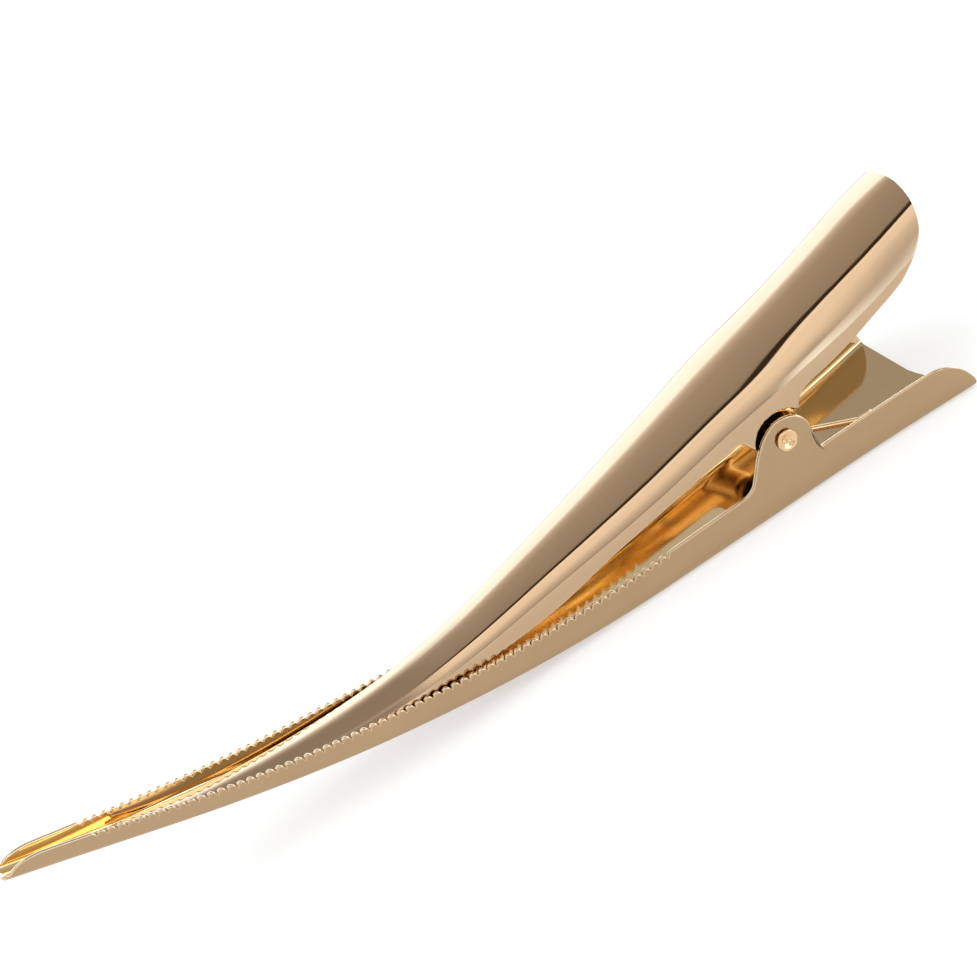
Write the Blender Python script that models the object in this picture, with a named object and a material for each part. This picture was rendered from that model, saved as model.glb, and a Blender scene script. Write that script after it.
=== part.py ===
"""A large curved alligator hair clip in gold plated sheet steel.

Two stamped jaws, bent to channels, turn on a hollow rivet. A torsion spring on
the rivet holds them shut. The rivet's axis is along Y. The clip stands on the
straight underside of its lower jaw, with its tail toward +X and its tip toward
-X. The origin is on that underside, right below the rivet's axis.

Lengths are in millimetres and become metres only where points enter a mesh.
"along" is the distance ahead of the lower jaw's tail end, so +X = REAR - along.
"""
import math

import bmesh
import bpy
import numpy as np

MM = 0.001
SHEET = 0.5            # thickness of both stampings
REAR = 19.3            # from the tail end of the floor to the rivet's axis
TIP = 120.8            # length of the lower jaw
HANDLE = 8.7           # how far the upper handle reaches past the tail end
PIVOT_Z = 7.9          # rivet's axis above the underside

# The lower jaw's floor: straight, then curving up ever more gently to the tip.
FLOOR_STRAIGHT = 38.3
FLOOR_SLOPE = 0.45
FLOOR_EASE = 55.4
LOWER_BEND = 1.1       # outside bend radius between floor and wall
LOWER_HALF = [(0, 11.0), (7, 9.7), (14, 8.8), (19, 8.35), (24, 7.95), (34, 7.05),
              (46, 6.1), (65, 5.13), (80, 4.52), (95, 3.45), (107.5, 2.28),
              (114, 1.85), (121, 1.6)]
LOWER_WALL = [(0, 4.85), (15, 4.6), (26, 4.4), (38, 4.15), (55, 3.75), (70, 3.45),
              (90, 2.85), (109, 2.7), (121, 2.5)]
TAIL_ROUND = 3.2       # rounded rear corner of each wall
NEAR_LOBE = 2.25       # the near wall's rear corner stands this far past the floor
TIP_ROUND = 6.5        # length of the tip's rounded outline

EAR_R = 3.3            # round top of the lower jaw's ears
EAR_DROP = 0.65        # its centre is this far below the rivet's axis
EAR_FOOT = 25.3        # where an ear's front edge leaves the wall

TEETH = 62
TEETH_START = 37.6
TEETH_END = 109.3
TOOTH_DEPTH = 0.55

# The upper jaw: an arch, lowest ahead of the middle, following the lower jaw.
UPPER_TOP = [(-8.7, 22.35), (-4.2, 21.25), (2.4, 19.65), (9, 18.15), (15.8, 16.7),
             (22.5, 15.35), (35.6, 12.6), (49, 10.25), (62, 8.3), (69, 7.85),
             (75.5, 8.05), (82, 8.7), (89, 9.8), (96, 11.25), (101, 12.75),
             (105.6, 14.3)]
UPPER_HALF = [(-8.7, 8.5), (-4, 8.6), (9, 8.5), (19, 8.3), (26, 7.6), (35, 6.9),
              (42, 6.2), (50, 5.35), (60, 4.5), (70, 4.0), (82, 3.4), (92, 2.65),
              (101, 1.75), (105.6, 1.0)]
UPPER_LOW = [(-4.9, 18.3), (-3.3, 16.9), (-1.4, 15.6), (0.7, 14.8), (2.8, 14.2),
             (5.8, 13.5), (9.8, 12.6), (14.8, 12.2), (24, 10.7), (33, 9.35),
             (42.5, 7.8), (51.5, 5.95), (62, 5.2), (69, 5.2), (75.5, 5.95),
             (82, 7.05), (89, 8.68), (96, 10.64), (101, 12.13), (105.6, 13.75)]
HANDLE_ROUND = (2.0, 11.7)   # the handle's oval end: its centre and half its width
UPPER_SHOULDER = [(-8.7, 2.6), (24, 2.6), (49, 1.9), (70, 1.3), (105.6, 0.5)]
UPPER_TIP = 105.6
EAR_IN = 1.3           # the upper jaw's ears are set in by this much
JOGGLE_R = 3.75        # round step where they are set in
CROWN = 0.5            # the top falls by this much from its middle to its shoulders
INNER_EAR = (16.3, 22.9)

PIN_R = 0.9
PIN_BORE = 0.55
HEAD_R = 1.32
RUNNING_GAP = 0.1
WIRE_R = 0.35
COIL_R = 1.42
COIL_TURNS = 8
COIL_HALF = 3.3


def clear_scene():
    for thing in list(bpy.data.objects):
        bpy.data.objects.remove(thing, do_unlink=True)


def smooth(stations, x):
    """A cubic through the stations, with each one's slope taken from its neighbours."""
    xs, ys = np.array(stations, float).T
    slope = np.gradient(ys, xs)
    x = np.clip(np.asarray(x, float), xs[0], xs[-1])
    i = np.clip(np.searchsorted(xs, x) - 1, 0, len(xs) - 2)
    h = xs[i + 1] - xs[i]
    t = (x - xs[i]) / h
    return (ys[i] * (1 + 2 * t) * (1 - t) ** 2 + ys[i + 1] * t * t * (3 - 2 * t)
            + h * slope[i] * t * (1 - t) ** 2 - h * slope[i + 1] * t * t * (1 - t))


def floor_line(along):
    """Height of the lower jaw's underside: zero, then easing toward a steady slope."""
    u = np.maximum(0.0, np.asarray(along, float) - FLOOR_STRAIGHT)
    return FLOOR_SLOPE * (u - FLOOR_EASE * (1 - np.exp(-u / FLOOR_EASE)))


def bent_strip(half, bend, reach, steps):
    """Half of a sheet strip bent up at both sides, one row for each station.

    From the middle a row runs flat, round the bend and up the wall to its reach.
    steps are (part, share) pairs: part 0 is the flat, 1 the bend, 2 the wall.
    Returns outer points and inner points as (sideways, up) pairs.
    """
    flat = half - bend
    turned = flat + bend * math.pi / 2
    full = np.maximum(reach, turned + 0.25)
    rows = []
    for part, share in steps:
        if part == 0:
            s = flat * share
        elif part == 1:
            s = flat + (turned - flat) * share
        else:
            s = turned + (full - turned) * share
        rows.append(s * reach / full)
    s = np.stack(rows, 1)
    turn = np.clip((s - flat[:, None]) / bend[:, None], 0, math.pi / 2)
    up = np.maximum(0, s - turned[:, None])
    side = np.minimum(s, flat[:, None]) + bend[:, None] * np.sin(turn)
    rise = bend[:, None] * (1 - np.cos(turn)) + up
    out = np.stack([side, rise], 2)
    normal = np.stack([np.sin(turn), -np.cos(turn)], 2)
    return out, out - SHEET * normal


def loft(name, outer, inner, outside_up):
    """Close a sheet between two grids of points (stations x positions x 3)."""
    count, across = outer.shape[:2]
    points = np.concatenate([outer.reshape(-1, 3), inner.reshape(-1, 3)]) * MM
    shift = count * across
    faces = []

    def quad(a, b, c, d):
        faces.append((a, b, c, d) if outside_up else (d, c, b, a))

    for i in range(count - 1):
        for k in range(across - 1):
            a = i * across + k
            quad(a, a + 1, a + across + 1, a + across)
            b = a + shift
            quad(b + across, b + across + 1, b + 1, b)
    for i in range(count - 1):
        for k, turn in ((0, False), (across - 1, True)):
            a = i * across + k
            rim = (a, a + across, a + across + shift, a + shift)
            quad(*(rim[::-1] if turn else rim))
    for i, turn in ((0, True), (count - 1, False)):
        for k in range(across - 1):
            a = i * across + k
            end = (a, a + 1, a + 1 + shift, a + shift)
            quad(*(end[::-1] if turn else end))
    mesh = bpy.data.meshes.new(name)
    mesh.from_pydata([tuple(p) for p in points], [], faces)
    mesh.validate()
    piece = bpy.data.objects.new(name, mesh)
    bpy.context.collection.objects.link(piece)
    return piece


def both_sides(half_rows):
    """Mirror rows of (sideways, up) about the middle, from the near rim to the far."""
    near = half_rows[:, :0:-1] * np.array([-1.0, 1.0])
    return np.concatenate([near, half_rows], 1)


def metal(name, colour, roughness):
    material = bpy.data.materials.new(name)
    material.use_nodes = True
    shader = material.node_tree.nodes["Principled BSDF"]
    shader.inputs["Base Color"].default_value = (*colour, 1)
    shader.inputs["Metallic"].default_value = 1
    shader.inputs["Roughness"].default_value = roughness
    return material


def bore(piece, radius):
    """Cut the rivet's hole through both ears."""
    mesh = bpy.data.meshes.new("bore_" + piece.name)
    shape = bmesh.new()
    bmesh.ops.create_cone(shape, cap_ends=True, segments=28, radius1=radius * MM,
                          radius2=radius * MM, depth=0.04)
    shape.to_mesh(mesh)
    shape.free()
    cutter = bpy.data.objects.new("bore_" + piece.name, mesh)
    cutter.location = (0, 0, PIVOT_Z * MM)
    cutter.rotation_euler = (math.pi / 2, 0, 0)
    cutter.hide_render = True
    cutter.display_type = "WIRE"
    bpy.context.collection.objects.link(cutter)
    cut = piece.modifiers.new("rivet hole", "BOOLEAN")
    cut.operation = "DIFFERENCE"
    cut.solver = "EXACT"
    cut.object = cutter


def stations(*runs):
    """Distances along the jaw from (start, end, count) runs, sorted, no near doubles."""
    every = np.sort(np.concatenate([np.linspace(a, b, n) for a, b, n in runs]))
    return every[np.concatenate([[True], np.diff(every) > 0.05])]


def ear_top(along, wall_top):
    """The rim's height with the ear: a sloping front edge, a round top, a steep back."""
    ahead = along - REAR
    middle = PIVOT_Z - EAR_DROP
    crown = middle + np.sqrt(np.maximum(0, EAR_R ** 2 - np.minimum(ahead, EAR_R) ** 2))
    shoulder = 2.6
    front = middle + math.sqrt(EAR_R ** 2 - shoulder ** 2)
    ramp = np.interp(along, [REAR + shoulder, EAR_FOOT], [front, 4.4])
    rim = np.where(ahead > shoulder, np.maximum(ramp, wall_top), crown)
    return np.where((ahead < -EAR_R) | (along > EAR_FOOT), wall_top, rim)


def lower_jaw():
    """The outer channel: rounded tail, ears, a scalloped rim and a rounded tip."""
    pitch = (TEETH_END - TEETH_START) / TEETH
    along = stations((0, TAIL_ROUND, 6), (TAIL_ROUND, 15.93, 4),
                     (REAR - EAR_R, EAR_FOOT, 15), (EAR_FOOT, TEETH_START, 5),
                     (TEETH_START, TEETH_END, 2 * TEETH + 1),
                     (TEETH_END, TIP - TIP_ROUND, 4))
    rounding = TIP - TIP_ROUND * (1 - np.sin(np.linspace(0.2, 1.52, 8)))
    along = np.concatenate([along, rounding])
    half = smooth(LOWER_HALF, along)
    wall = smooth(LOWER_WALL, along)
    wall = wall * np.sqrt(1 - np.clip(1 - along / TAIL_ROUND, 0, 0.98) ** 2)
    cut = np.abs((along - TEETH_START) / pitch % 1 - 0.5) * 2
    toothed = (along > TEETH_START - 0.01) & (along < TEETH_END + 0.01)
    wall = wall - np.where(toothed, TOOTH_DEPTH * cut, 0)
    base = floor_line(along)
    rim = ear_top(along, base + wall) - base
    bend = np.minimum(LOWER_BEND, half - 0.3)
    reach = half - bend + bend * math.pi / 2 + np.maximum(0.25, rim - bend)
    run_out = np.clip((along - (TIP - TIP_ROUND)) / TIP_ROUND, 0, 1)
    reach = np.maximum(0.3, reach * np.sqrt(1 - run_out ** 2.6))
    steps = [(0, 0), (0, 1), (1, 1 / 3), (1, 2 / 3), (1, 1), (2, 1)]
    out, inn = bent_strip(half, bend, reach, steps)
    grids = []
    for half_rows in (out, inn):
        rows = both_sides(half_rows)
        share = np.clip(-rows[:, :, 0] / half[:, None], 0, 1)
        lobe = NEAR_LOBE * share ** 1.4 * np.clip(1 - along[:, None] / 9, 0, 1) ** 2
        x = REAR - along[:, None] + lobe
        grids.append(np.stack([x, rows[:, :, 0], rows[:, :, 1] + base[:, None]], 2))
    piece = loft("lower_jaw", grids[0], grids[1], True)
    piece.data.materials.append(metal("gold_lower", (0.83, 0.66, 0.48), 0.12))
    bore(piece, PIN_R + RUNNING_GAP)
    return piece


def upper_jaw():
    """The arch: a rounded handle, set-in ears about the rivet and a slim tip."""
    first, last = INNER_EAR
    oval, oval_half = HANDLE_ROUND
    rounding = -oval - (HANDLE - oval) * np.sin(np.linspace(1.52, 0.45, 8))
    along = np.concatenate([rounding, stations(
        (-4.4, 15, 9), (first, last, 13), (first - 0.1, first - 0.1, 1),
        (last + 0.1, last + 0.1, 1), (23.7, 62, 14), (62, UPPER_TIP, 17))])
    half = smooth(UPPER_HALF, along)
    top = smooth(UPPER_TOP, along)
    low = smooth(UPPER_LOW, along)
    bend = np.minimum(smooth(UPPER_SHOULDER, along), half - 0.3)
    step = (along - REAR) ** 2
    eared = (along > first - 0.01) & (along < last + 0.01)
    joggle = PIVOT_Z + np.sqrt(np.maximum(0, JOGGLE_R ** 2 - step))
    ear_low = PIVOT_Z - np.sqrt(np.maximum(0.6, 2.9 ** 2 - step))
    rim = np.where(eared, ear_low, low)
    crown = CROWN * np.minimum(1, (half - bend) / 5.5) ** 2
    reach = half - bend + bend * math.pi / 2 + np.maximum(0.05, top - rim - bend - crown)
    past = np.clip(-(along + oval) / (HANDLE - oval), 0, 1)
    reach = np.minimum(reach, np.where(past > 0, oval_half * np.sqrt(1 - past ** 2), 99))
    deep = np.maximum(top - rim - bend - crown, 0.1)
    share = np.where(eared, (top - bend - crown - joggle) / deep, 0.5)
    rest = np.where(eared, (top - bend - crown - joggle + 0.35) / deep, 0.75)
    steps = [(0, 0), (0, 0.5), (0, 1), (1, 1 / 3), (1, 2 / 3), (1, 1), (2, share), (2, rest),
             (2, 1)]
    out, inn = bent_strip(half, bend, reach, steps)
    set_in = np.zeros(out.shape[:2])
    set_in[:, -2:] = np.where(eared, EAR_IN, 0)[:, None]
    grids = []
    for half_rows in (out, inn):
        half_rows = half_rows.copy()
        fallen = np.minimum(1, half_rows[:, :, 0] / (half - bend)[:, None]) ** 2
        half_rows[:, :, 1] += crown[:, None] * fallen
        half_rows[:, :, 0] -= set_in
        rows = both_sides(half_rows)
        x = np.repeat((REAR - along)[:, None], rows.shape[1], 1)
        grids.append(np.stack([x, rows[:, :, 0], top[:, None] - rows[:, :, 1]], 2))
    piece = loft("upper_jaw", grids[0], grids[1], False)
    piece.data.materials.append(metal("gold_upper", (0.86, 0.68, 0.50), 0.08))
    bore(piece, PIN_R + RUNNING_GAP)
    return piece


def pivot_rivet():
    """A turned tube with both ends flared over the ears. The profile spins about Y."""
    face = float(smooth(LOWER_HALF, REAR)) + 0.2
    lip = 0.28
    profile = [(PIN_R, 0), (PIN_R, face), (HEAD_R, face), (HEAD_R, face + lip),
               (PIN_BORE + 0.25, face + lip), (PIN_BORE, face - 0.4), (PIN_BORE, 0)]
    profile = profile + [(r, -y) for r, y in profile[-2:0:-1]]
    sides = 28
    shape = bmesh.new()
    rings = []
    for i in range(sides):
        a = 2 * math.pi * i / sides
        rings.append([shape.verts.new((r * math.cos(a) * MM, y * MM, r * math.sin(a) * MM))
                      for r, y in profile])
    for i in range(sides):
        one, two = rings[i], rings[(i + 1) % sides]
        for k in range(len(profile)):
            n = (k + 1) % len(profile)
            shape.faces.new((one[k], one[n], two[n], two[k]))
    bmesh.ops.recalc_face_normals(shape, faces=shape.faces)
    mesh = bpy.data.meshes.new("pivot_rivet")
    shape.to_mesh(mesh)
    shape.free()
    piece = bpy.data.objects.new("pivot_rivet", mesh)
    bpy.context.collection.objects.link(piece)
    piece.location = (0, 0, PIVOT_Z * MM)
    piece.data.materials.append(metal("gold_rivet", (0.86, 0.68, 0.46), 0.15))
    return piece


def spring_path():
    """The wire's centre line: a foot on the floor, a leg, the coil, a leg and a foot."""
    lower_y, upper_y = -COIL_HALF, COIL_HALF
    rest_z = SHEET + WIRE_R + 0.08
    leave = math.radians(-117)         # the lower leg leaves the coil below the rivet
    down = np.array([math.cos(leave), 0, math.sin(leave)]) * COIL_R
    run = np.array([-math.sin(leave), 0, math.cos(leave)])
    reach = (rest_z - PIVOT_Z - down[2]) / run[2]
    bent = down + run * reach
    foot = bent + np.array([1.6, 0, 0])
    points = [foot, bent + np.array([0.8, 0, 0]), bent + np.array([0.1, 0, 0.02]),
              bent - run * 0.5, (bent - run * 0.5 + down) / 2]
    points = [p + np.array([0, lower_y, PIVOT_Z]) for p in points]
    rise = math.radians(137)           # the upper leg leaves the coil above the rivet
    sweep = -2 * math.pi * COIL_TURNS - (leave + 2 * math.pi - rise)
    count = 16 * COIL_TURNS
    for i in range(count + 1):
        a = leave + sweep * i / count
        points.append(np.array([math.cos(a) * COIL_R,
                                lower_y + (upper_y - lower_y) * i / count,
                                PIVOT_Z + math.sin(a) * COIL_R]))
    last = leave + sweep
    out = np.array([math.sin(last), 0, -math.cos(last)])
    start = points[-1]
    lengths = np.linspace(4, 16, 241)
    spots = start + lengths[:, None] * out
    under = smooth(UPPER_TOP, REAR - spots[:, 0]) - SHEET - WIRE_R - 0.4
    knee = spots[np.argmax(spots[:, 2] > under)]
    slope = np.array([1, 0, 0.228])
    points += [start + (knee - start) * 0.3, start + (knee - start) * 0.65, knee,
               knee + slope * 0.6, knee + slope * 3]
    return np.array(points)


def torsion_spring():
    """Round wire carried along the path, with a frame that turns as little as it can."""
    path = spring_path()
    sides = 8
    ahead = np.gradient(path, axis=0)
    ahead /= np.linalg.norm(ahead, axis=1)[:, None]
    across = np.array([0.0, 1.0, 0.0])
    shape = bmesh.new()
    rings = []
    for point, along in zip(path, ahead):
        across = across - along * across.dot(along)
        across = across / np.linalg.norm(across)
        other = np.cross(along, across)
        ring = []
        for j in range(sides):
            a = 2 * math.pi * j / sides
            spot = point + WIRE_R * (math.cos(a) * across + math.sin(a) * other)
            ring.append(shape.verts.new(tuple(spot * MM)))
        rings.append(ring)
    for one, two in zip(rings, rings[1:]):
        for j in range(sides):
            n = (j + 1) % sides
            shape.faces.new((one[j], one[n], two[n], two[j]))
    shape.faces.new(rings[0][::-1])
    shape.faces.new(rings[-1])
    bmesh.ops.recalc_face_normals(shape, faces=shape.faces)
    mesh = bpy.data.meshes.new("torsion_spring")
    shape.to_mesh(mesh)
    shape.free()
    piece = bpy.data.objects.new("torsion_spring", mesh)
    bpy.context.collection.objects.link(piece)
    piece.data.materials.append(metal("gold_spring", (0.85, 0.66, 0.42), 0.15))
    return piece


def hang_on_pivot(piece):
    """Put the moving jaw's origin on the rivet's axis."""
    hub = bpy.data.objects.new("rivet_axis", None)
    hub.location = (0, 0, PIVOT_Z * MM)
    bpy.context.collection.objects.link(hub)
    piece.parent = hub
    piece.location = (0, 0, -PIVOT_Z * MM)


clear_scene()
lower_jaw()
hang_on_pivot(upper_jaw())
pivot_rivet()
torsion_spring()
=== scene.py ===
"""The looks of a curved alligator hair clip: two jaws of gold plated sheet steel, a rivet and a spring.

Lengths are in millimetres until a mesh is filled, where MM makes them metres. "along" is the distance
ahead of the lower jaw's tail end, so x = REAR - along. "reach" is the distance run across a jaw's sheet
from its middle line: over the flat, round the bend and along the wall.
"""

import math

import bmesh
import bpy
import numpy as np
from mathutils import Matrix, Vector


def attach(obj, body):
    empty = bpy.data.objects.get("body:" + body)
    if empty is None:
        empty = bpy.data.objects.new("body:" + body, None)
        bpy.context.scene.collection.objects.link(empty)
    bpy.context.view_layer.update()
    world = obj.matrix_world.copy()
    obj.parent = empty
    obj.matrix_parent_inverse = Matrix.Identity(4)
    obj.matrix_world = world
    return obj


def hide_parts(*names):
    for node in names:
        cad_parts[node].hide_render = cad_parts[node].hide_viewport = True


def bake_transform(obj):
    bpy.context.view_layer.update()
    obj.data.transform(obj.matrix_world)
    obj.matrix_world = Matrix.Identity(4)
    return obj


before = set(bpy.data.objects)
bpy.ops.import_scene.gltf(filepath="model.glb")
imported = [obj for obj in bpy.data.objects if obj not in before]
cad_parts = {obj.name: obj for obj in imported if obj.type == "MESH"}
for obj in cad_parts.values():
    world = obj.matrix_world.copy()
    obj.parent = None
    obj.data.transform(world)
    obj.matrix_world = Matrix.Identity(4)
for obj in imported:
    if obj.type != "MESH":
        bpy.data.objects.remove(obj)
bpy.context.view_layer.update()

# ---- Lower jaw -------------------------------------------------------------------------------
# One stamping of half millimetre steel bent to a channel: a rounded tail, two ears that hold the
# rivet, a scalloped rim and a rounded, spoon-like tip. It is polished and plated pale gold.

MM = 0.001
SHEET = 0.5
REAR = 19.3
PIVOT_Z = 7.9
TIP = 120.8

LOWER_HALF = [(0, 11.0), (7, 9.7), (14, 8.8), (19, 8.35), (24, 7.95), (34, 7.05), (46, 6.1), (65, 5.13),
              (80, 4.52), (95, 3.45), (107.5, 2.28), (114, 1.85), (121, 1.6)]
LOWER_WALL = [(0, 4.85), (15, 4.6), (26, 4.4), (38, 4.15), (55, 3.75), (70, 3.45), (90, 2.85), (109, 2.7),
              (121, 2.5)]
LOWER_BEND = 1.1
TAIL_ROUND = 3.2
NEAR_LOBE = 3.2
LOBE_LENGTH = 12
TIP_ROUND = 6.5
BORE_R = 1.0
TEETH = 62
TEETH_START, TEETH_END = 37.6, 109.3
TOOTH_DEPTH = 0.55
EAR = [(15.9, 4.58), (16.06, 4.75), (16.2, 5.3), (16.22, 6.0), (16.08, 6.9), (16.06, 7.7), (16.24, 8.7),
       (16.75, 9.55), (17.6, 10.2), (18.7, 10.5), (19.8, 10.42), (20.8, 10.0), (21.8, 9.33), (22.7, 8.45),
       (24.7, 5.7), (25.05, 5.2), (25.5, 4.75), (26.2, 4.45)]


def smooth(stations, x):
    """A cubic through the stations, with each one's slope taken from its neighbours."""
    xs, ys = np.array(stations, float).T
    slope = np.gradient(ys, xs)
    x = np.clip(np.asarray(x, float), xs[0], xs[-1])
    i = np.clip(np.searchsorted(xs, x) - 1, 0, len(xs) - 2)
    h = xs[i + 1] - xs[i]
    t = (x - xs[i]) / h
    return (ys[i] * (1 + 2 * t) * (1 - t) ** 2 + ys[i + 1] * t * t * (3 - 2 * t)
            + h * slope[i] * t * (1 - t) ** 2 - h * slope[i + 1] * t * t * (1 - t))


def curve_through(points, spacing):
    """A rounded line through the points: a cubic in the distance along them, cut into even steps."""
    points = np.array(points, float)
    run = np.concatenate([[0], np.cumsum(np.linalg.norm(np.diff(points, axis=0), axis=1))])
    at = np.linspace(0, run[-1], int(run[-1] / spacing) + 2)
    return np.stack([smooth(list(zip(run, points[:, k])), at) for k in (0, 1)], 1)


def eased(t):
    """0 below 0, 1 above 1, and an S curve between."""
    t = np.clip(t, 0, 1)
    return t * t * (3 - 2 * t)


def lower_floor(along):
    """Height of the underside: level to 38.3, then easing toward a steady slope of 0.45."""
    u = np.maximum(0.0, np.asarray(along, float) - 38.3)
    return 0.45 * (u - 55.4 * (1 - np.exp(-u / 55.4)))


def lower_section(along, reach):
    """Sideways, height and outward normal of a point on the channel's outside.

    Flat to (half - bend), then a quarter circle of radius bend, then straight up.
    """
    half = smooth(LOWER_HALF, along)
    bend = np.minimum(LOWER_BEND, half - 0.3)
    flat = half - bend
    turn = np.clip((reach - flat) / bend, 0, math.pi / 2)
    up = np.maximum(0, reach - flat - bend * math.pi / 2)
    side = np.minimum(reach, flat) + bend * np.sin(turn)
    height = lower_floor(along) + bend * (1 - np.cos(turn)) + up
    return side, height, np.sin(turn), -np.cos(turn)


def lower_starts(along):
    """Reach at which the bend and the wall start."""
    half = smooth(LOWER_HALF, along)
    bend = np.minimum(LOWER_BEND, half - 0.3)
    return half - bend, half - bend + bend * math.pi / 2


def lower_outline():
    """The cut edge of one side as (along, reach, slant) from the tail to the tip.

    A quarter ellipse at the tail, the wall's top, the ear, the wall again, one rounded bump for each
    tooth with a sharp valley between, and half a long superellipse at the tip. slant says how much
    of the edge's rounding may lean along the jaw.
    """
    turn = np.linspace(0.12, math.pi / 2, 26)
    tail = np.stack([TAIL_ROUND * (1 - np.cos(turn)), np.sin(turn)], 1)
    tail[:, 1] *= smooth(LOWER_WALL, tail[:, 0])
    a = np.arange(TAIL_ROUND + 0.5, 15.5, 0.5)
    rear = np.stack([a, smooth(LOWER_WALL, a)], 1)
    ear = curve_through(EAR, 0.22)
    a = np.arange(26.7, TEETH_START - 0.3, 0.5)
    front = np.stack([a, smooth(LOWER_WALL, a)], 1)
    count = 10 * TEETH
    t = np.arange(count + 1) / 10
    a = TEETH_START + (TEETH_END - TEETH_START) * t / TEETH
    bump = np.sin(math.pi * (t % 1)) ** 0.62
    teeth = np.stack([a, smooth(LOWER_WALL, a) - TOOTH_DEPTH * (1 - bump)], 1)
    a = np.arange(TEETH_END + 0.4, TIP - TIP_ROUND, 0.5)
    last = np.stack([a, smooth(LOWER_WALL, a)], 1)
    walls = np.concatenate([tail, rear, ear, front, teeth, last])
    bend = np.minimum(LOWER_BEND, smooth(LOWER_HALF, walls[:, 0]) - 0.3)
    starts = lower_starts(walls[:, 0])
    low = starts[0] + bend * np.arccos(np.clip(1 - walls[:, 1] / bend, 0, 1))
    reach = np.where(walls[:, 1] < bend, low, starts[1] + walls[:, 1] - bend)
    t = 1 - (1 - np.linspace(0, 0.985, 40)) ** 2
    a = TIP - TIP_ROUND * (1 - t)
    bend = np.minimum(LOWER_BEND, smooth(LOWER_HALF, a) - 0.3)
    end = (lower_starts(a)[1] + smooth(LOWER_WALL, a) - bend) * np.sqrt(1 - t ** 2.6)
    along = np.concatenate([walls[:, 0], a])
    reach = np.concatenate([reach, end])
    slant = eased((along - 3) / 3) * eased((TIP - TIP_ROUND - 1 - along) / 2)
    return along, reach, slant


def sheet_rows(outline, base, starts, counts, soft=0.09, support=0.16):
    """Grids of (along, reach) for one side of a jaw, from its middle line to its cut edge.

    Each column runs straight from the middle, over the flat and the bend, then leans so that it ends
    on the edge. Two extra rows lie `soft` and `soft + support` inside the edge to round it.
    """
    along, reach, slant = outline
    d_along, d_reach = np.gradient(along), np.gradient(reach)
    size = np.hypot(d_along, d_reach) + 1e-9
    lean = np.stack([d_reach / size * slant, -(1 - slant) - slant * d_along / size], 1)
    lean /= np.linalg.norm(lean, axis=1)[:, None]
    edge = np.stack([along, reach], 1)
    room = np.clip(reach / 3, 0, 1)[:, None]
    chamfer = edge + lean * soft * room
    inner = edge + lean * (soft + support) * room
    flat, wall = starts(base)
    full = np.maximum(inner[:, 1] + wall - starts(inner[:, 0])[1], wall + 0.25)
    over, round_, up = counts
    share = [flat * k / over for k in range(over)]
    share += [flat + (wall - flat) * k / round_ for k in range(round_)]
    share += [wall + (full - wall) * k / up for k in range(up + 1)]
    rows = np.stack(share, 1)
    climb = np.clip((rows - wall[:, None]) / (full - wall)[:, None], 0, 1)
    a = base[:, None] + (inner[:, :1] - base[:, None]) * climb
    lift = starts(a)[1] - wall[:, None]
    whole = inner[:, 1] + wall - starts(inner[:, 0])[1]
    r = rows * (whole / full)[:, None] + np.where(climb > 0, lift, 0)
    return (np.concatenate([a, chamfer[:, :1], edge[:, :1]], 1),
            np.concatenate([r, chamfer[:, 1:], edge[:, 1:]], 1))


def ear_columns(outline, zone, shares, feet):
    """Where each edge point's column starts on the middle line.

    That is right under the point, except between the zone's two ends, where the columns fan out over the
    ear: at the given shares of the edge's run they stand on the zone's first point, the feet and its last.
    """
    along, reach = outline[0], outline[1]
    starts = along.copy()
    ear = (along > zone[0]) & (along < zone[1])
    run = np.concatenate([[0], np.cumsum(np.hypot(np.diff(along[ear]), np.diff(reach[ear])))])
    starts[ear] = np.interp(run / run[-1], shares, (along[ear][0], *feet, along[ear][-1]))
    return starts


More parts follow.
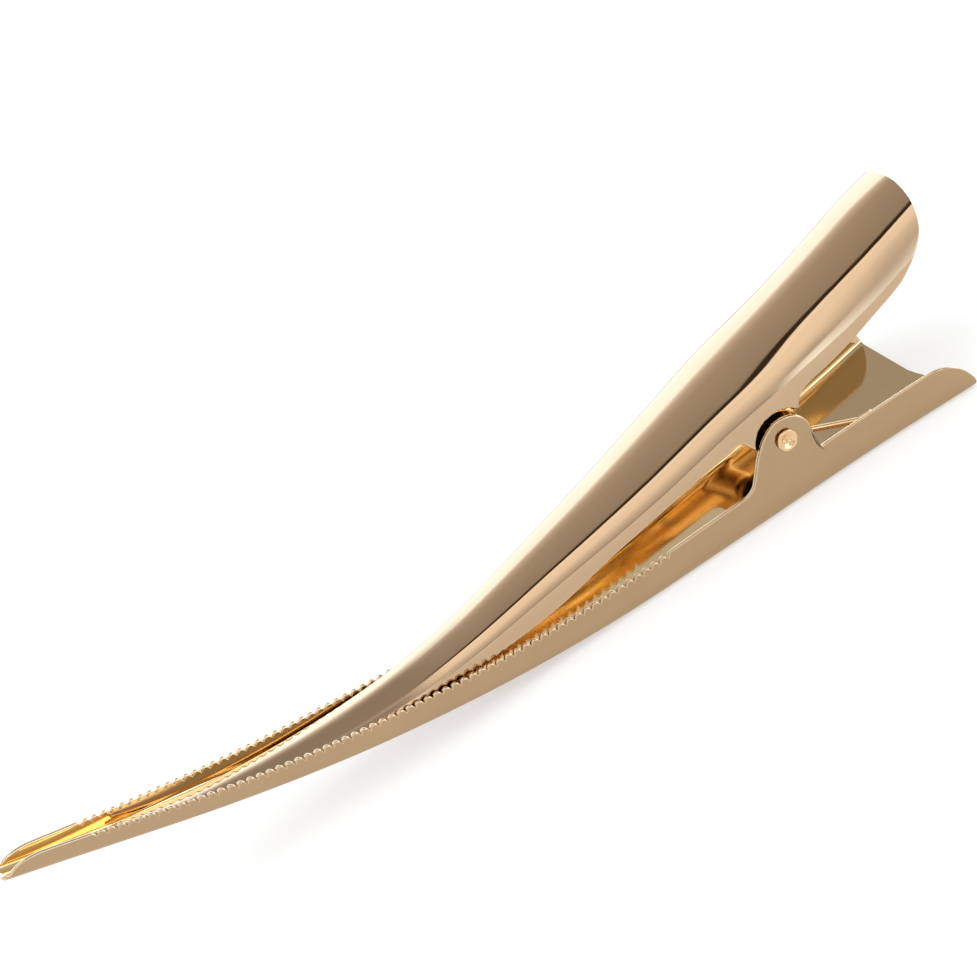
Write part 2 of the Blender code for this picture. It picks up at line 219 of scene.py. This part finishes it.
def sheet_jaw(name, along, reach, section, place, soft=0.09, recess=None):
    """Close a bent sheet round both sides and its thickness, and keep its own coordinates.

    Ring order: outside from the near edge to the far one, the far cut edge, inside back to the near
    edge, the near cut edge. The UV map holds (along, reach); "edge" is 1 on the cut edge. "inside" is 1
    in the recess and on the inner face, and falls to 0.45 on the inside of the handles. It marks painted
    light: where it is 1 the sheet takes the paler inner tone, which paints the mouth and the recess lighter.
    """
    side, height, n_side, n_up = section(along, reach)
    thick = np.full(along.shape, SHEET)
    skin = np.zeros(along.shape)
    skin[:, -1] = soft
    skin[0] = np.maximum(skin[0], soft)
    outer = np.stack([along, side - n_side * skin, height - n_up * skin], 2)
    deep = thick - skin
    inner = np.stack([along, side - n_side * deep, height - n_up * deep], 2)
    mirror = np.array([1, -1, 1])
    ring = np.concatenate([(outer * mirror)[:, :0:-1], outer, inner[:, ::-1], (inner * mirror)[:, 1:]], 1)
    away = np.concatenate([-reach[:, :0:-1], reach, reach[:, ::-1], -reach[:, 1:]], 1)
    last = along.shape[1] - 1
    mark = np.zeros(along.shape)
    mark[:, last] = 1
    mark[:, last - 1] = 0.6
    mark[0], mark[-1] = 1, 1
    marks = np.concatenate([mark[:, :0:-1], mark, mark[:, ::-1], mark[:, 1:]], 1)
    inside = np.zeros(ring.shape[:2])
    # Painted light: the inner face takes the paler inner tone, with less of it on the inside of the handles.
    inside[:, ring.shape[1] // 2:] = np.interp(along[:, :1], (0, 12, 22), (0.45, 0.45, 1))
    if recess is not None:
        # Painted light: the recess round the rivet on the outer face takes the paler inner tone too.
        deep = recess(along, reach)
        inside[:, :ring.shape[1] // 2] = np.concatenate([deep[:, :0:-1], deep], 1)
    points = place(ring)
    columns, across = ring.shape[:2]
    index = np.arange(columns * across).reshape(columns, across)
    following = np.roll(index, -1, 1)
    quads = np.stack([index[:-1], following[:-1], following[1:], index[1:]], 2).reshape(-1, 4)
    wide = across // 2
    k = np.arange(wide - 1)
    cap = np.stack([k, across - 1 - k, across - 2 - k, k + 1], 1)
    faces = np.concatenate([quads, cap, cap[:, ::-1] + (columns - 1) * across])
    flat = points.reshape(-1, 3)
    a, b, c, d = (flat[faces[:, k]] for k in range(4))
    volume = np.sum(np.cross(c - a, d - b) * (a + b + c + d))
    if volume < 0:
        faces = faces[:, ::-1]
    mesh = bpy.data.meshes.new(name)
    mesh.from_pydata((flat * MM).tolist(), [], faces.tolist())
    mesh.polygons.foreach_set("use_smooth", np.ones(len(faces), bool))
    for label, values in (("edge", marks), ("inside", inside)):
        mesh.attributes.new(label, "FLOAT", "POINT").data.foreach_set("value", values.ravel().astype("f"))
    corner = np.empty(len(mesh.loops), np.int32)
    mesh.loops.foreach_get("vertex_index", corner)
    run = np.stack([ring[:, :, 0].ravel(), away.ravel()], 1)[corner]
    mesh.uv_layers.new(name="sheet").data.foreach_set("uv", (run * 0.01).ravel().astype("f"))
    piece = bpy.data.objects.new(name, mesh)
    bpy.context.scene.collection.objects.link(piece)
    return piece


def bore_ears(piece, radius):
    """Cut the rivet's round hole through both ears with a thin drill, and keep the result."""
    drill_mesh = bpy.data.meshes.new("drill")
    shape = bmesh.new()
    bmesh.ops.create_cone(shape, cap_ends=True, segments=48, radius1=radius * MM, radius2=radius * MM,
                          depth=0.04, matrix=Matrix.Translation((0, 0, PIVOT_Z * MM))
                          @ Matrix.Rotation(math.pi / 2, 4, "X"))
    shape.to_mesh(drill_mesh)
    shape.free()
    drill = bpy.data.objects.new("drill", drill_mesh)
    bpy.context.scene.collection.objects.link(drill)
    cut = piece.modifiers.new("rivet hole", "BOOLEAN")
    cut.operation, cut.solver, cut.object = "DIFFERENCE", "EXACT", drill
    shown = piece.evaluated_get(bpy.context.evaluated_depsgraph_get())
    mesh = bpy.data.meshes.new_from_object(shown)
    piece.modifiers.clear()
    piece.data = mesh
    bpy.data.objects.remove(drill, do_unlink=True)


def plated_finish():
    """Node group for polished plating: tone, roughness and a height for the shader's bump.

    A slow cloudy tone, fine lengthwise polishing lines and faint smears, all on the
    piece's own sheet coordinates, with paler rubbed metal on the cut edges.
    """
    group = bpy.data.node_groups.new("plated_finish", "ShaderNodeTree")
    make, link = group.nodes.new, group.links.new
    white = (1, 1, 1, 1)
    for name, kind, value in (("Sheet", "NodeSocketVector", (0, 0, 0)),
                              ("Face tone", "NodeSocketColor", white),
                              ("Inner painted light tone", "NodeSocketColor", white),
                              ("Edge tone", "NodeSocketColor", white),
                              ("Inside", "NodeSocketFloat", 0.0), ("Edge", "NodeSocketFloat", 0.0),
                              ("Polish", "NodeSocketFloat", 0.1)):
        group.interface.new_socket(name, in_out="INPUT", socket_type=kind).default_value = value
    for name, kind in (("Tone", "NodeSocketColor"), ("Roughness", "NodeSocketFloat"),
                       ("Height", "NodeSocketFloat")):
        group.interface.new_socket(name, in_out="OUTPUT", socket_type=kind)
    given, out = make("NodeGroupInput"), make("NodeGroupOutput")

    def pattern(scale, stretch, detail):
        mapping, noise = make("ShaderNodeMapping"), make("ShaderNodeTexNoise")
        mapping.inputs["Scale"].default_value = stretch
        noise.inputs["Scale"].default_value = scale
        noise.inputs["Detail"].default_value = detail
        link(given.outputs["Sheet"], mapping.inputs["Vector"])
        link(mapping.outputs[0], noise.inputs["Vector"])
        return noise.outputs["Fac"]

    def sums(kind, a, b, c=0.0):
        node = make("ShaderNodeMath")
        node.operation = kind
        for socket, value in zip(node.inputs, (a, b, c)):
            if isinstance(value, float):
                socket.default_value = value
            else:
                link(value, socket)
        return node.outputs[0]

    def mixed(kind, share, one, two):
        node = make("ShaderNodeMix")
        node.data_type, node.blend_type = "RGBA", kind
        for socket, value in ((node.inputs[0], share), (node.inputs[6], one), (node.inputs[7], two)):
            if isinstance(value, (float, tuple)):
                socket.default_value = value
            else:
                link(value, socket)
        return node.outputs[2]

    cloud = pattern(14, (1, 1, 1), 3)
    lines = pattern(60, (1, 10, 1), 2)
    smear = pattern(34, (1, 2.2, 1), 4)
    # Painted light: where the share is 1, the paler inner tone replaces the face tone.
    tone = mixed("MIX", given.outputs["Inside"], given.outputs["Face tone"], given.outputs["Inner painted light tone"])
    tone = mixed("MIX", given.outputs["Edge"], tone, given.outputs["Edge tone"])
    shade = sums("MULTIPLY_ADD", cloud, 0.10, 0.95)
    shade = sums("MULTIPLY_ADD", lines, 0.05, sums("ADD", shade, -0.025))
    grey = make("ShaderNodeCombineColor")
    for socket in grey.inputs:
        link(shade, socket)
    link(mixed("MULTIPLY", 1.0, tone, grey.outputs[0]), out.inputs["Tone"])
    rough = sums("MULTIPLY_ADD", smear, 0.10, sums("ADD", given.outputs["Polish"], -0.05))
    rough = sums("MULTIPLY_ADD", given.outputs["Edge"], 0.12, rough)
    link(rough, out.inputs["Roughness"])
    link(sums("MULTIPLY_ADD", lines, 0.35, cloud), out.inputs["Height"])
    return group


plating = plated_finish()


def gold(name, face, inner, edge, polish, bump):
    """A plated metal with the shared finish: tones for the face, the inner side and the cut edge."""
    material = bpy.data.materials.new(name)
    material.use_nodes = True
    tree = material.node_tree
    shader = tree.nodes["Principled BSDF"]
    shader.inputs["Metallic"].default_value = 1.0
    finish = tree.nodes.new("ShaderNodeGroup")
    finish.node_tree = plating
    # The inner tone is painted light for the inner faces and the recess round the rivet.
    for socket, value in (("Face tone", face), ("Inner painted light tone", inner), ("Edge tone", edge)):
        finish.inputs[socket].default_value = (*value, 1)
    finish.inputs["Polish"].default_value = polish
    sheet = tree.nodes.new("ShaderNodeUVMap")
    sheet.uv_map = "sheet"
    tree.links.new(sheet.outputs[0], finish.inputs["Sheet"])
    for label, socket in (("inside", "Inside"), ("edge", "Edge")):
        mark = tree.nodes.new("ShaderNodeAttribute")
        mark.attribute_name = label
        tree.links.new(mark.outputs["Fac"], finish.inputs[socket])
    relief = tree.nodes.new("ShaderNodeBump")
    relief.inputs["Strength"].default_value = bump
    relief.inputs["Distance"].default_value = 0.00005
    tree.links.new(finish.outputs["Height"], relief.inputs["Height"])
    tree.links.new(finish.outputs["Tone"], shader.inputs["Base Color"])
    tree.links.new(finish.outputs["Roughness"], shader.inputs["Roughness"])
    tree.links.new(relief.outputs[0], shader.inputs["Normal"])
    return material


def lower_place(ring):
    """Turn (along, side, height) into the frame, with the near corner's small lobe at the tail."""
    along, side, height = ring[..., 0], ring[..., 1], ring[..., 2]
    share = np.clip(-side / smooth(LOWER_HALF, along), 0, 1)
    lobe = NEAR_LOBE * share ** 1.4 * np.clip(1 - along / LOBE_LENGTH, 0, 1) ** 1.6
    return np.stack([REAR - along + lobe, side, height], -1)


GOLD_FACE = (0.55, 0.38, 0.235)
GOLD_LOW_FACE = (0.445, 0.305, 0.172)
# The inner tone is painted light: a paler copy of the face gold that paints the inner faces and the recess
# round the rivet lighter.
GOLD_INNER_PAINTED_LIGHT = (1.0, 0.76, 0.42)
GOLD_EDGE = (0.74, 0.55, 0.36)

outline = lower_outline()
base = ear_columns(outline, (12, 30), (0, 0.16, 0.50, 0.62, 0.78, 1), (14.6, 19.0, 21.3, 25.3))
along, reach = sheet_rows(outline, base, lower_starts, (6, 8, 12))
lower_shell = sheet_jaw("lower_shell", along, reach, lower_section, lower_place)
bore_ears(lower_shell, BORE_R)
lower_shell.data.materials.clear()
lower_shell.data.materials.append(gold("gold_lower_plating", face=GOLD_LOW_FACE, inner=GOLD_INNER_PAINTED_LIGHT,
                                       edge=GOLD_EDGE, polish=0.08, bump=0.05))
lower_shell.data.set_sharp_from_angle(angle=math.radians(50))
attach(lower_shell, "lower")
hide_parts("lower_jaw")

# ---- Upper jaw -------------------------------------------------------------------------------
# A second stamping, bent down to an arch with a slightly crowned top: an oval handle, smooth rims,
# ears set in by a round step so that they turn inside the lower jaw's ears, and a slim tip.

UPPER_TOP = [(-8.7, 22.35), (-4.2, 21.25), (2.4, 19.65), (9, 18.15), (15.8, 16.7), (22.5, 15.35),
             (35.6, 12.6), (49, 10.25), (62, 8.3), (69, 7.85), (75.5, 8.05), (82, 8.7), (89, 9.8),
             (96, 11.25), (101, 12.75), (105.6, 14.3)]
UPPER_HALF = [(-8.7, 8.5), (-4, 8.6), (9, 8.5), (19, 8.3), (26, 7.6), (35, 6.9), (42, 6.2), (50, 5.35),
              (60, 4.5), (70, 4.0), (82, 3.4), (92, 2.65), (101, 1.75), (105.6, 1.0)]
UPPER_LOW = [(-1.4, 15.68), (0.65, 15.03), (2.75, 14.5), (5.75, 13.7), (9.8, 12.75), (14.0, 12.15),
             (15.0, 11.9), (24, 10.7), (33, 9.35), (42.5, 7.8), (51.5, 5.95), (62, 5.2), (69, 5.2),
             (75.5, 5.95), (82, 7.05), (89, 8.68), (96, 10.64), (101, 12.13), (105.6, 13.75)]
HANDLE_EDGE = [(-8.55, 0.3), (-8.42, 1.5), (-7.8, 4.9), (-7.05, 7.1), (-6.3, 8.5), (-5.1, 9.6), (-3.45, 10.5),
               (-1.4, 11.2)]
UPPER_EAR = [(14.6, 12.0), (15.2, 11.8), (15.75, 11.2), (16.25, 10.3), (16.45, 9.4), (16.3, 8.3),
             (16.35, 7.2), (16.9, 6.0), (17.9, 5.2), (19.3, 4.95), (20.8, 5.2), (21.9, 6.0),
             (22.5, 7.2), (22.8, 8.5), (23.25, 9.4), (23.95, 10.45), (24.35, 10.72), (24.9, 10.6)]
JAW_TURN = ([0, 0.56, 0.60, 0.93, 1], [0, 9.5, 14, 84, 90])
HANDLE_TURN = ([0, 0.43, 0.47, 0.56, 0.80, 1], [0, 10.2, 20, 52, 76, 90])
EAR_IN = 1.3
JOGGLE_R = 3.75
JOGGLE_STEP = 0.30
UPPER_TIP = 105.6
MIX_STEPS, ARC_STEPS = 16, 800
ROUNDED_BY = 10


def turn_tables():
    """How far the sheet has turned, gone sideways and dropped, against the share of its arc.

    Each row is one mixture of the jaw's tight shoulder and the handle's rounder one. The
    corners of both are rounded by a running mean, and the other two tables add up its cosine and sine.
    """
    arc = np.linspace(0, 1, ARC_STEPS + 1)
    mix = np.linspace(0, 1, MIX_STEPS + 1)[:, None]
    nothing = np.zeros((MIX_STEPS + 1, 1))
    turn = np.radians((1 - mix) * np.interp(arc, *JAW_TURN) + mix * np.interp(arc, *HANDLE_TURN))
    longer = np.pad(turn, ((0, 0), (ROUNDED_BY, ROUNDED_BY)), mode="reflect", reflect_type="odd")
    total = np.cumsum(longer, 1)
    span = 2 * ROUNDED_BY + 1
    turn = (total[:, span - 1:] - np.concatenate([nothing, total[:, :-span]], 1)) / span
    added = [np.concatenate([nothing, np.cumsum((f(turn[:, 1:]) + f(turn[:, :-1])) / 2, 1)], 1) / ARC_STEPS
             for f in (np.cos, np.sin)]
    return turn, added[0], added[1]


TURNS, SIDEWAYS, DROPS = turn_tables()


def looked_up(table, mix, share):
    """The table's value at a mixture and a share of the arc, straight between its entries."""
    row, column = np.clip(mix, 0, 1) * (MIX_STEPS - 0.001), np.clip(share, 0, 1) * (ARC_STEPS - 0.001)
    i, k = row.astype(int), column.astype(int)
    f, g = row - i, column - k
    return ((table[i, k] * (1 - g) + table[i, k + 1] * g) * (1 - f)
            + (table[i + 1, k] * (1 - g) + table[i + 1, k + 1] * g) * f)


def handle_share(along):
    """1 at the handle, 0 ahead of the rivet, and an S curve between."""
    return eased((22 - along) / 26)


def upper_starts(along):
    """Reach at which the shoulder and the wall start."""
    mix = handle_share(along)
    whole = smooth(UPPER_HALF, along) / looked_up(SIDEWAYS, mix, np.ones(np.shape(along)))
    return whole * ((1 - mix) * JAW_TURN[0][1] + mix * HANDLE_TURN[0][1]), whole


def set_in(along, reach):
    """How far a point is pushed in, from 0 to 1: a step round the rivet and below it."""
    whole, mix = upper_starts(along)[1], handle_share(along)
    drop = whole * looked_up(DROPS, mix, reach / whole) + np.maximum(0, reach - whole)
    far = np.hypot(along - REAR, np.maximum(smooth(UPPER_TOP, along) - drop - PIVOT_Z, 0))
    return np.where(reach > whole * 0.6, eased((JOGGLE_R - far) / JOGGLE_STEP), 0)


def upper_section(along, reach):
    """Sideways, height and outward normal on the arch's outside.

    The sheet turns slowly over the crown and fast round the shoulder, and then falls straight. The
    part within JOGGLE_R of the rivet and all below it is pushed in by EAR_IN.
    """
    whole, mix = upper_starts(along)[1], handle_share(along)
    share = reach / whole
    turn = looked_up(TURNS, mix, share)
    side = whole * looked_up(SIDEWAYS, mix, share)
    height = smooth(UPPER_TOP, along) - whole * looked_up(DROPS, mix, share) - np.maximum(0, reach - whole)
    return side - EAR_IN * set_in(along, reach), height, np.sin(turn), np.cos(turn)


def upper_outline():
    """The cut edge of one side as (along, reach, slant): the handle's half oval, the wall's lower
    edge, the ear's U, the lower edge again and the narrow tip."""
    handle = curve_through(HANDLE_EDGE, 0.3)[:-1]
    a = np.arange(-1.4, 14.3, 0.4)
    ear = curve_through(UPPER_EAR, 0.2)
    b = np.concatenate([np.arange(25.3, 60, 0.5), np.arange(60, UPPER_TIP, 0.4), [UPPER_TIP]])
    low = np.concatenate([smooth(UPPER_LOW, a), ear[:, 1], smooth(UPPER_LOW, b)])
    along = np.concatenate([a, ear[:, 0], b])
    whole = upper_starts(along)[1]
    drop = whole * looked_up(DROPS, handle_share(along), np.ones(len(along)))
    reach = whole + np.maximum(0.05, smooth(UPPER_TOP, along) - drop - low)
    high = low > smooth(UPPER_TOP, along) - drop
    levels, mixes = np.meshgrid(np.linspace(0, 1, 400), handle_share(along))
    fall = looked_up(DROPS, mixes, levels) * whole[:, None]
    short = np.argmax(fall > (smooth(UPPER_TOP, along) - low)[:, None], 1) / (levels.shape[1] - 1) * whole
    reach = np.where(high, short, reach)
    along = np.concatenate([handle[:, 0], along])
    reach = np.concatenate([handle[:, 1], reach])
    slant = eased((along - 8) / 3) * eased((UPPER_TIP - 2 - along) / 2)
    return along, reach, slant


def upper_place(ring):
    """Turn (along, side, height) into the frame. The handle's far corner is fuller than the near one:
    it reaches further by a parabola in the distance from the middle."""
    along, side, height = ring[..., 0], ring[..., 1], ring[..., 2]
    far = np.maximum(side, 0)
    longer = (0.05 * far + 0.028 * far ** 2) * np.clip(-(along + 2) / 6.7, 0, 1) ** 2
    return np.stack([REAR - along + longer, side, height], -1)


outline = upper_outline()
base = ear_columns(outline, (11, 29), (0, 0.14, 0.5, 0.83, 1), (14.3, 19.4, 24.6))
along, reach = sheet_rows(outline, base, upper_starts, (10, 14, 34))
# recess=set_in paints the step's recess in the paler inner tone, as painted light.
upper_shell = sheet_jaw("upper_shell", along, reach, upper_section, upper_place, recess=set_in)
bore_ears(upper_shell, BORE_R)
upper_shell.data.materials.clear()
upper_shell.data.materials.append(gold("gold_upper_plating", face=GOLD_FACE, inner=GOLD_INNER_PAINTED_LIGHT,
                                       edge=GOLD_EDGE, polish=0.07, bump=0.05))
upper_shell.data.set_sharp_from_angle(angle=math.radians(50))
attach(upper_shell, "upper")
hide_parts("upper_jaw")

# ---- Pivot rivet -----------------------------------------------------------------------------
# A rivet through the four ears. Both ends are split by a star punch and rolled outward, so that each
# shows a round rim with short petals inside it. A shallow star closes the bore at each end.

PIN_R = 0.9
PIN_BORE = 0.55
HEAD_R = 1.32
PETALS = 6


def rivet_surface():
    """A closed profile spun about Y, from one end's middle to the other's.

    Where a profile point's third number says so, the radius and the height dip with the square of
    0.5 - 0.5 cos(PETALS * angle), which makes the petals.
    """
    face = float(smooth(LOWER_HALF, REAR)) + 0.2
    profile = np.array([(PIN_R, 0, 0), (PIN_R, face - 0.15, 0), (PIN_R + 0.04, face - 0.03, 0),
                        (PIN_R + 0.16, face + 0.01, 0), (HEAD_R - 0.05, face + 0.03, 0.1),
                        (HEAD_R, face + 0.10, 0.2), (HEAD_R - 0.02, face + 0.20, 0.25),
                        (HEAD_R - 0.12, face + 0.27, 0.4), (PIN_R + 0.14, face + 0.27, 0.9),
                        (PIN_R - 0.04, face + 0.20, 1.6), (PIN_BORE + 0.16, face + 0.08, 1.8),
                        (PIN_BORE - 0.12, face - 0.03, 1.2), (0.2, face - 0.04, 0.4),
                        (0.004, face - 0.02, 0)])
    whole = np.concatenate([profile, (profile * [1, -1, 1])[:0:-1]])
    angle = np.linspace(0, 2 * math.pi, 96, endpoint=False)[:, None]
    wave = 0.5 - 0.5 * np.cos(PETALS * angle)
    radius = whole[:, 0] - 0.16 * whole[:, 2] * wave ** 2
    out = whole[:, 1] - np.sign(whole[:, 1]) * 0.10 * whole[:, 2] * wave ** 2
    return np.stack([radius * np.cos(angle), out + 0 * angle, radius * np.sin(angle) + PIVOT_Z], 2)


def closed_grid(name, grid, cap=False):
    """Mesh of a grid that closes round its second direction, and round its first unless capped."""
    rows, across = grid.shape[:2]
    index = np.arange(rows * across).reshape(rows, across)
    nxt = np.roll(index, -1, 0) if not cap else index[1:]
    one = index if not cap else index[:-1]
    faces = np.stack([one, np.roll(one, -1, 1), np.roll(nxt, -1, 1), nxt], 2).reshape(-1, 4).tolist()
    if cap:
        faces += [index[0, ::-1].tolist(), index[-1].tolist()]
    mesh = bpy.data.meshes.new(name)
    mesh.from_pydata((grid.reshape(-1, 3) * MM).tolist(), [], faces)
    shape = bmesh.new()
    shape.from_mesh(mesh)
    bmesh.ops.recalc_face_normals(shape, faces=shape.faces)
    shape.to_mesh(mesh)
    shape.free()
    mesh.polygons.foreach_set("use_smooth", np.ones(len(mesh.polygons), bool))
    corner = np.empty(len(mesh.loops), np.int32)
    mesh.loops.foreach_get("vertex_index", corner)
    run = np.stack([corner // across / rows, corner % across / across], 1)
    mesh.uv_layers.new(name="sheet").data.foreach_set("uv", run.ravel().astype("f"))
    piece = bpy.data.objects.new(name, mesh)
    bpy.context.scene.collection.objects.link(piece)
    return piece


rivet = closed_grid("star_rivet", rivet_surface().transpose(1, 0, 2))
rivet.data.materials.append(gold("gold_rivet_plating", face=(0.78, 0.53, 0.30), inner=GOLD_INNER_PAINTED_LIGHT,
                                 edge=GOLD_EDGE, polish=0.14, bump=0.2))
rivet.data.set_sharp_from_angle(angle=math.radians(55))
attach(rivet, "lower")
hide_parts("pivot_rivet")

# ---- Torsion spring --------------------------------------------------------------------------
# Round spring wire wound eight turns on the rivet. One leg rests on the lower jaw's floor, the other
# pushes the handle up from inside, which holds the jaws shut.

WIRE_R = 0.35
COIL_R = 1.42
COIL_TURNS = 8
COIL_HALF = 3.3


def spring_line():
    """Centre line: a foot on the floor, a straight leg, the coil, a straight leg and a foot."""
    rest = SHEET + WIRE_R + 0.08
    leave, rise = math.radians(-117), math.radians(137)
    down = np.array([math.cos(leave), 0, math.sin(leave)]) * COIL_R
    ahead = np.array([-math.sin(leave), 0, math.cos(leave)])
    bent = down + ahead * (rest - PIVOT_Z - down[2]) / ahead[2]
    low = [bent + [1.6, 0, 0], bent + [1.2, 0, 0], bent + [0.8, 0, 0], bent + [0.3, 0, 0.06],
           bent - ahead * 0.3, bent - ahead * 0.8, (bent - ahead * 0.8 + down) / 2]
    low = np.array(low) + [0, -COIL_HALF, PIVOT_Z]
    sweep = -2 * math.pi * COIL_TURNS - (leave + 2 * math.pi - rise)
    share = np.linspace(0, 1, 48 * COIL_TURNS)
    turn = leave + sweep * share
    coil = np.stack([np.cos(turn) * COIL_R, COIL_HALF * (2 * share - 1), PIVOT_Z + np.sin(turn) * COIL_R], 1)
    out = np.array([math.sin(turn[-1]), 0, -math.cos(turn[-1])])
    spots = coil[-1] + np.linspace(4, 16, 241)[:, None] * out
    under = smooth(UPPER_TOP, REAR - spots[:, 0]) - SHEET - WIRE_R - 0.2
    knee = spots[np.argmax(spots[:, 2] > under)]
    slope = np.array([1, 0, 0.228])
    high = np.array([coil[-1] + (knee - coil[-1]) * 0.3, coil[-1] + (knee - coil[-1]) * 0.65,
                     knee - out * 0.5, knee + slope * 0.05, knee + slope * 0.6, knee + slope * 1.8,
                     knee + slope * 3])
    return np.concatenate([low, coil, high])


def wire(line, radius, sides=14):
    """A tube round the line. Each ring's first axis is Y made square to the line."""
    ahead = np.gradient(line, axis=0)
    ahead /= np.linalg.norm(ahead, axis=1)[:, None]
    across = np.array([0, 1, 0]) - ahead * ahead[:, 1:2]
    across /= np.linalg.norm(across, axis=1)[:, None]
    other = np.cross(ahead, across)
    angle = np.linspace(0, 2 * math.pi, sides, endpoint=False)[None, :, None]
    return line[:, None] + radius * (np.cos(angle) * across[:, None] + np.sin(angle) * other[:, None])


spring = closed_grid("spring_wire", wire(spring_line(), WIRE_R), cap=True)
spring.data.materials.append(gold("gold_spring_plating", face=(0.76, 0.52, 0.30), inner=GOLD_INNER_PAINTED_LIGHT,
                                  edge=GOLD_EDGE, polish=0.16, bump=0.2))
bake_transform(spring)
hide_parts("torsion_spring")

# ---- Studio ----------------------------------------------------------------------------------
# A plain pale table under a soft dome: white walls low down, a grey card above them behind and to
# the right, and a broad soft light overhead and in front.

floor_mesh = bpy.data.meshes.new("table_top")
corners = np.array([(-4, -4, 0), (4, -4, 0), (4, 4, 0), (-4, 4, 0)], float) - [0, 0, 0.00004]
floor_mesh.from_pydata(corners.tolist(), [], [(0, 1, 2, 3)])
floor = bpy.data.objects.new("table_top", floor_mesh)
bpy.context.scene.collection.objects.link(floor)
paper = bpy.data.materials.new("pale_paper")
paper.use_nodes = True
surface = paper.node_tree.nodes["Principled BSDF"]
surface.inputs["Base Color"].default_value = (0.66, 0.66, 0.66, 1)
surface.inputs["Roughness"].default_value = 1.0
surface.inputs["Specular IOR Level"].default_value = 0.0
surface.inputs["Emission Color"].default_value = (1, 1, 1, 1)
surface.inputs["Emission Strength"].default_value = 0.47
floor_mesh.materials.append(paper)

world = bpy.data.worlds.new("soft_dome")
bpy.context.scene.world = world
world.use_nodes = True
nodes, links = world.node_tree.nodes, world.node_tree.links
nodes.clear()
where = nodes.new("ShaderNodeTexCoord")
axes = nodes.new("ShaderNodeSeparateXYZ")
links.new(where.outputs["Generated"], axes.inputs[0])


DOME_STRENGTH = 3.0


def heights(stops):
    """Brightness by the sine of the height above the horizon, from (sine, colour) stops.

    A ramp holds no colour above 1, so each is divided by the dome's strength, which gives it back.
    """
    spread = nodes.new("ShaderNodeMapRange")
    spread.inputs["From Min"].default_value = -1
    ramp = nodes.new("ShaderNodeValToRGB")
    ramp.color_ramp.interpolation = "LINEAR"
    while len(ramp.color_ramp.elements) < len(stops):
        ramp.color_ramp.elements.new(0.5)
    for element, (sine, colour) in zip(ramp.color_ramp.elements, stops):
        element.position = (sine + 1) / 2
        element.color = (*[c / DOME_STRENGTH for c in colour], 1)
    links.new(axes.outputs["Z"], spread.inputs["Value"])
    links.new(spread.outputs[0], ramp.inputs[0])
    return ramp.outputs[0]


def grey(value, warm=0.0):
    """A grey of the given brightness; warm takes away that share of its blue and half of its green."""
    return value, value * (1 - warm * 0.5), value * (1 - warm)


def share_along(direction, low, high):
    """How far a direction leans the given way, as an S curve between two sines."""
    dot, curve = nodes.new("ShaderNodeVectorMath"), nodes.new("ShaderNodeMapRange")
    dot.operation = "DOT_PRODUCT"
    dot.inputs[1].default_value = Vector(direction).normalized()
    curve.interpolation_type = "SMOOTHSTEP"
    curve.inputs["From Min"].default_value, curve.inputs["From Max"].default_value = low, high
    links.new(where.outputs["Generated"], dot.inputs[0])
    links.new(dot.outputs["Value"], curve.inputs["Value"])
    return curve.outputs[0]


def blended(share, one, two):
    """The first colour where the share is 0, and the second where it is 1."""
    mix = nodes.new("ShaderNodeMix")
    mix.data_type = "RGBA"
    links.new(share, mix.inputs[0])
    links.new(one, mix.inputs[6])
    links.new(two, mix.inputs[7])
    return mix.outputs[2]


WHITE = (1.9, 2.3, 2.65)
behind = heights([(-0.02, grey(1.0)), (0.01, WHITE), (0.43, WHITE), (0.465, grey(1.1)),
                  (0.50, grey(0.85, 0.05)), (0.56, grey(0.64, 0.08)), (0.80, grey(0.52, 0.12)),
                  (0.812, grey(0.06, 0.5)), (0.903, grey(0.06, 0.5)), (0.917, grey(1.6))])
before = heights([(-0.02, grey(1.0)), (0.0, grey(0.66)), (0.06, grey(0.62)), (0.2, grey(0.8)),
                  (0.5, grey(1.0)), (0.7, grey(1.2)), (0.85, grey(1.4)), (0.95, grey(1.5))])
right = heights([(-0.02, grey(1.0)), (0.01, WHITE), (0.33, WHITE), (0.40, grey(1.0)),
                 (0.46, grey(0.56, 0.05)), (0.52, grey(0.46, 0.08)), (0.9, grey(0.5, 0.08)),
                 (1.0, grey(0.8))])
around = blended(share_along((0.62, 0.78, 0), -0.02, 0.14), before, behind)
around = blended(share_along((1, 0, 0), 0.06, 0.24), around, right)
sky = nodes.new("ShaderNodeBackground")
sky.inputs["Strength"].default_value = DOME_STRENGTH
links.new(around, sky.inputs["Color"])
out = nodes.new("ShaderNodeOutputWorld")
links.new(sky.outputs[0], out.inputs["Surface"])
bpy.context.scene.view_settings.view_transform = "Standard"

# ---- Camera ----------------------------------------------------------------------------------
# A long lens, 30 degrees above the table and a little to the left of square on, rolled so that the
# clip runs from corner to corner.

AIM = Vector((-0.03098, 0.0, 0.02095))
FAR = 1.2
camera_data = bpy.data.cameras.new("long_lens")
camera_data.sensor_width = 36
camera_data.lens = 36 * FAR / 0.1093
camera_data.clip_start, camera_data.clip_end = 0.01, 20
camera = bpy.data.objects.new("long_lens", camera_data)
back = Vector((-0.2304, -0.832, 0.5047)).normalized()
right = Vector((0.7828, -0.4666, -0.4118)).normalized()
up = back.cross(right).normalized()
right = up.cross(back).normalized()
camera.matrix_world = Matrix.Translation(AIM + back * FAR) @ Matrix((right, up, back)).transposed().to_4x4()
bpy.context.scene.collection.objects.link(camera)
bpy.context.scene.camera = camera

bpy.context.view_layer.update()
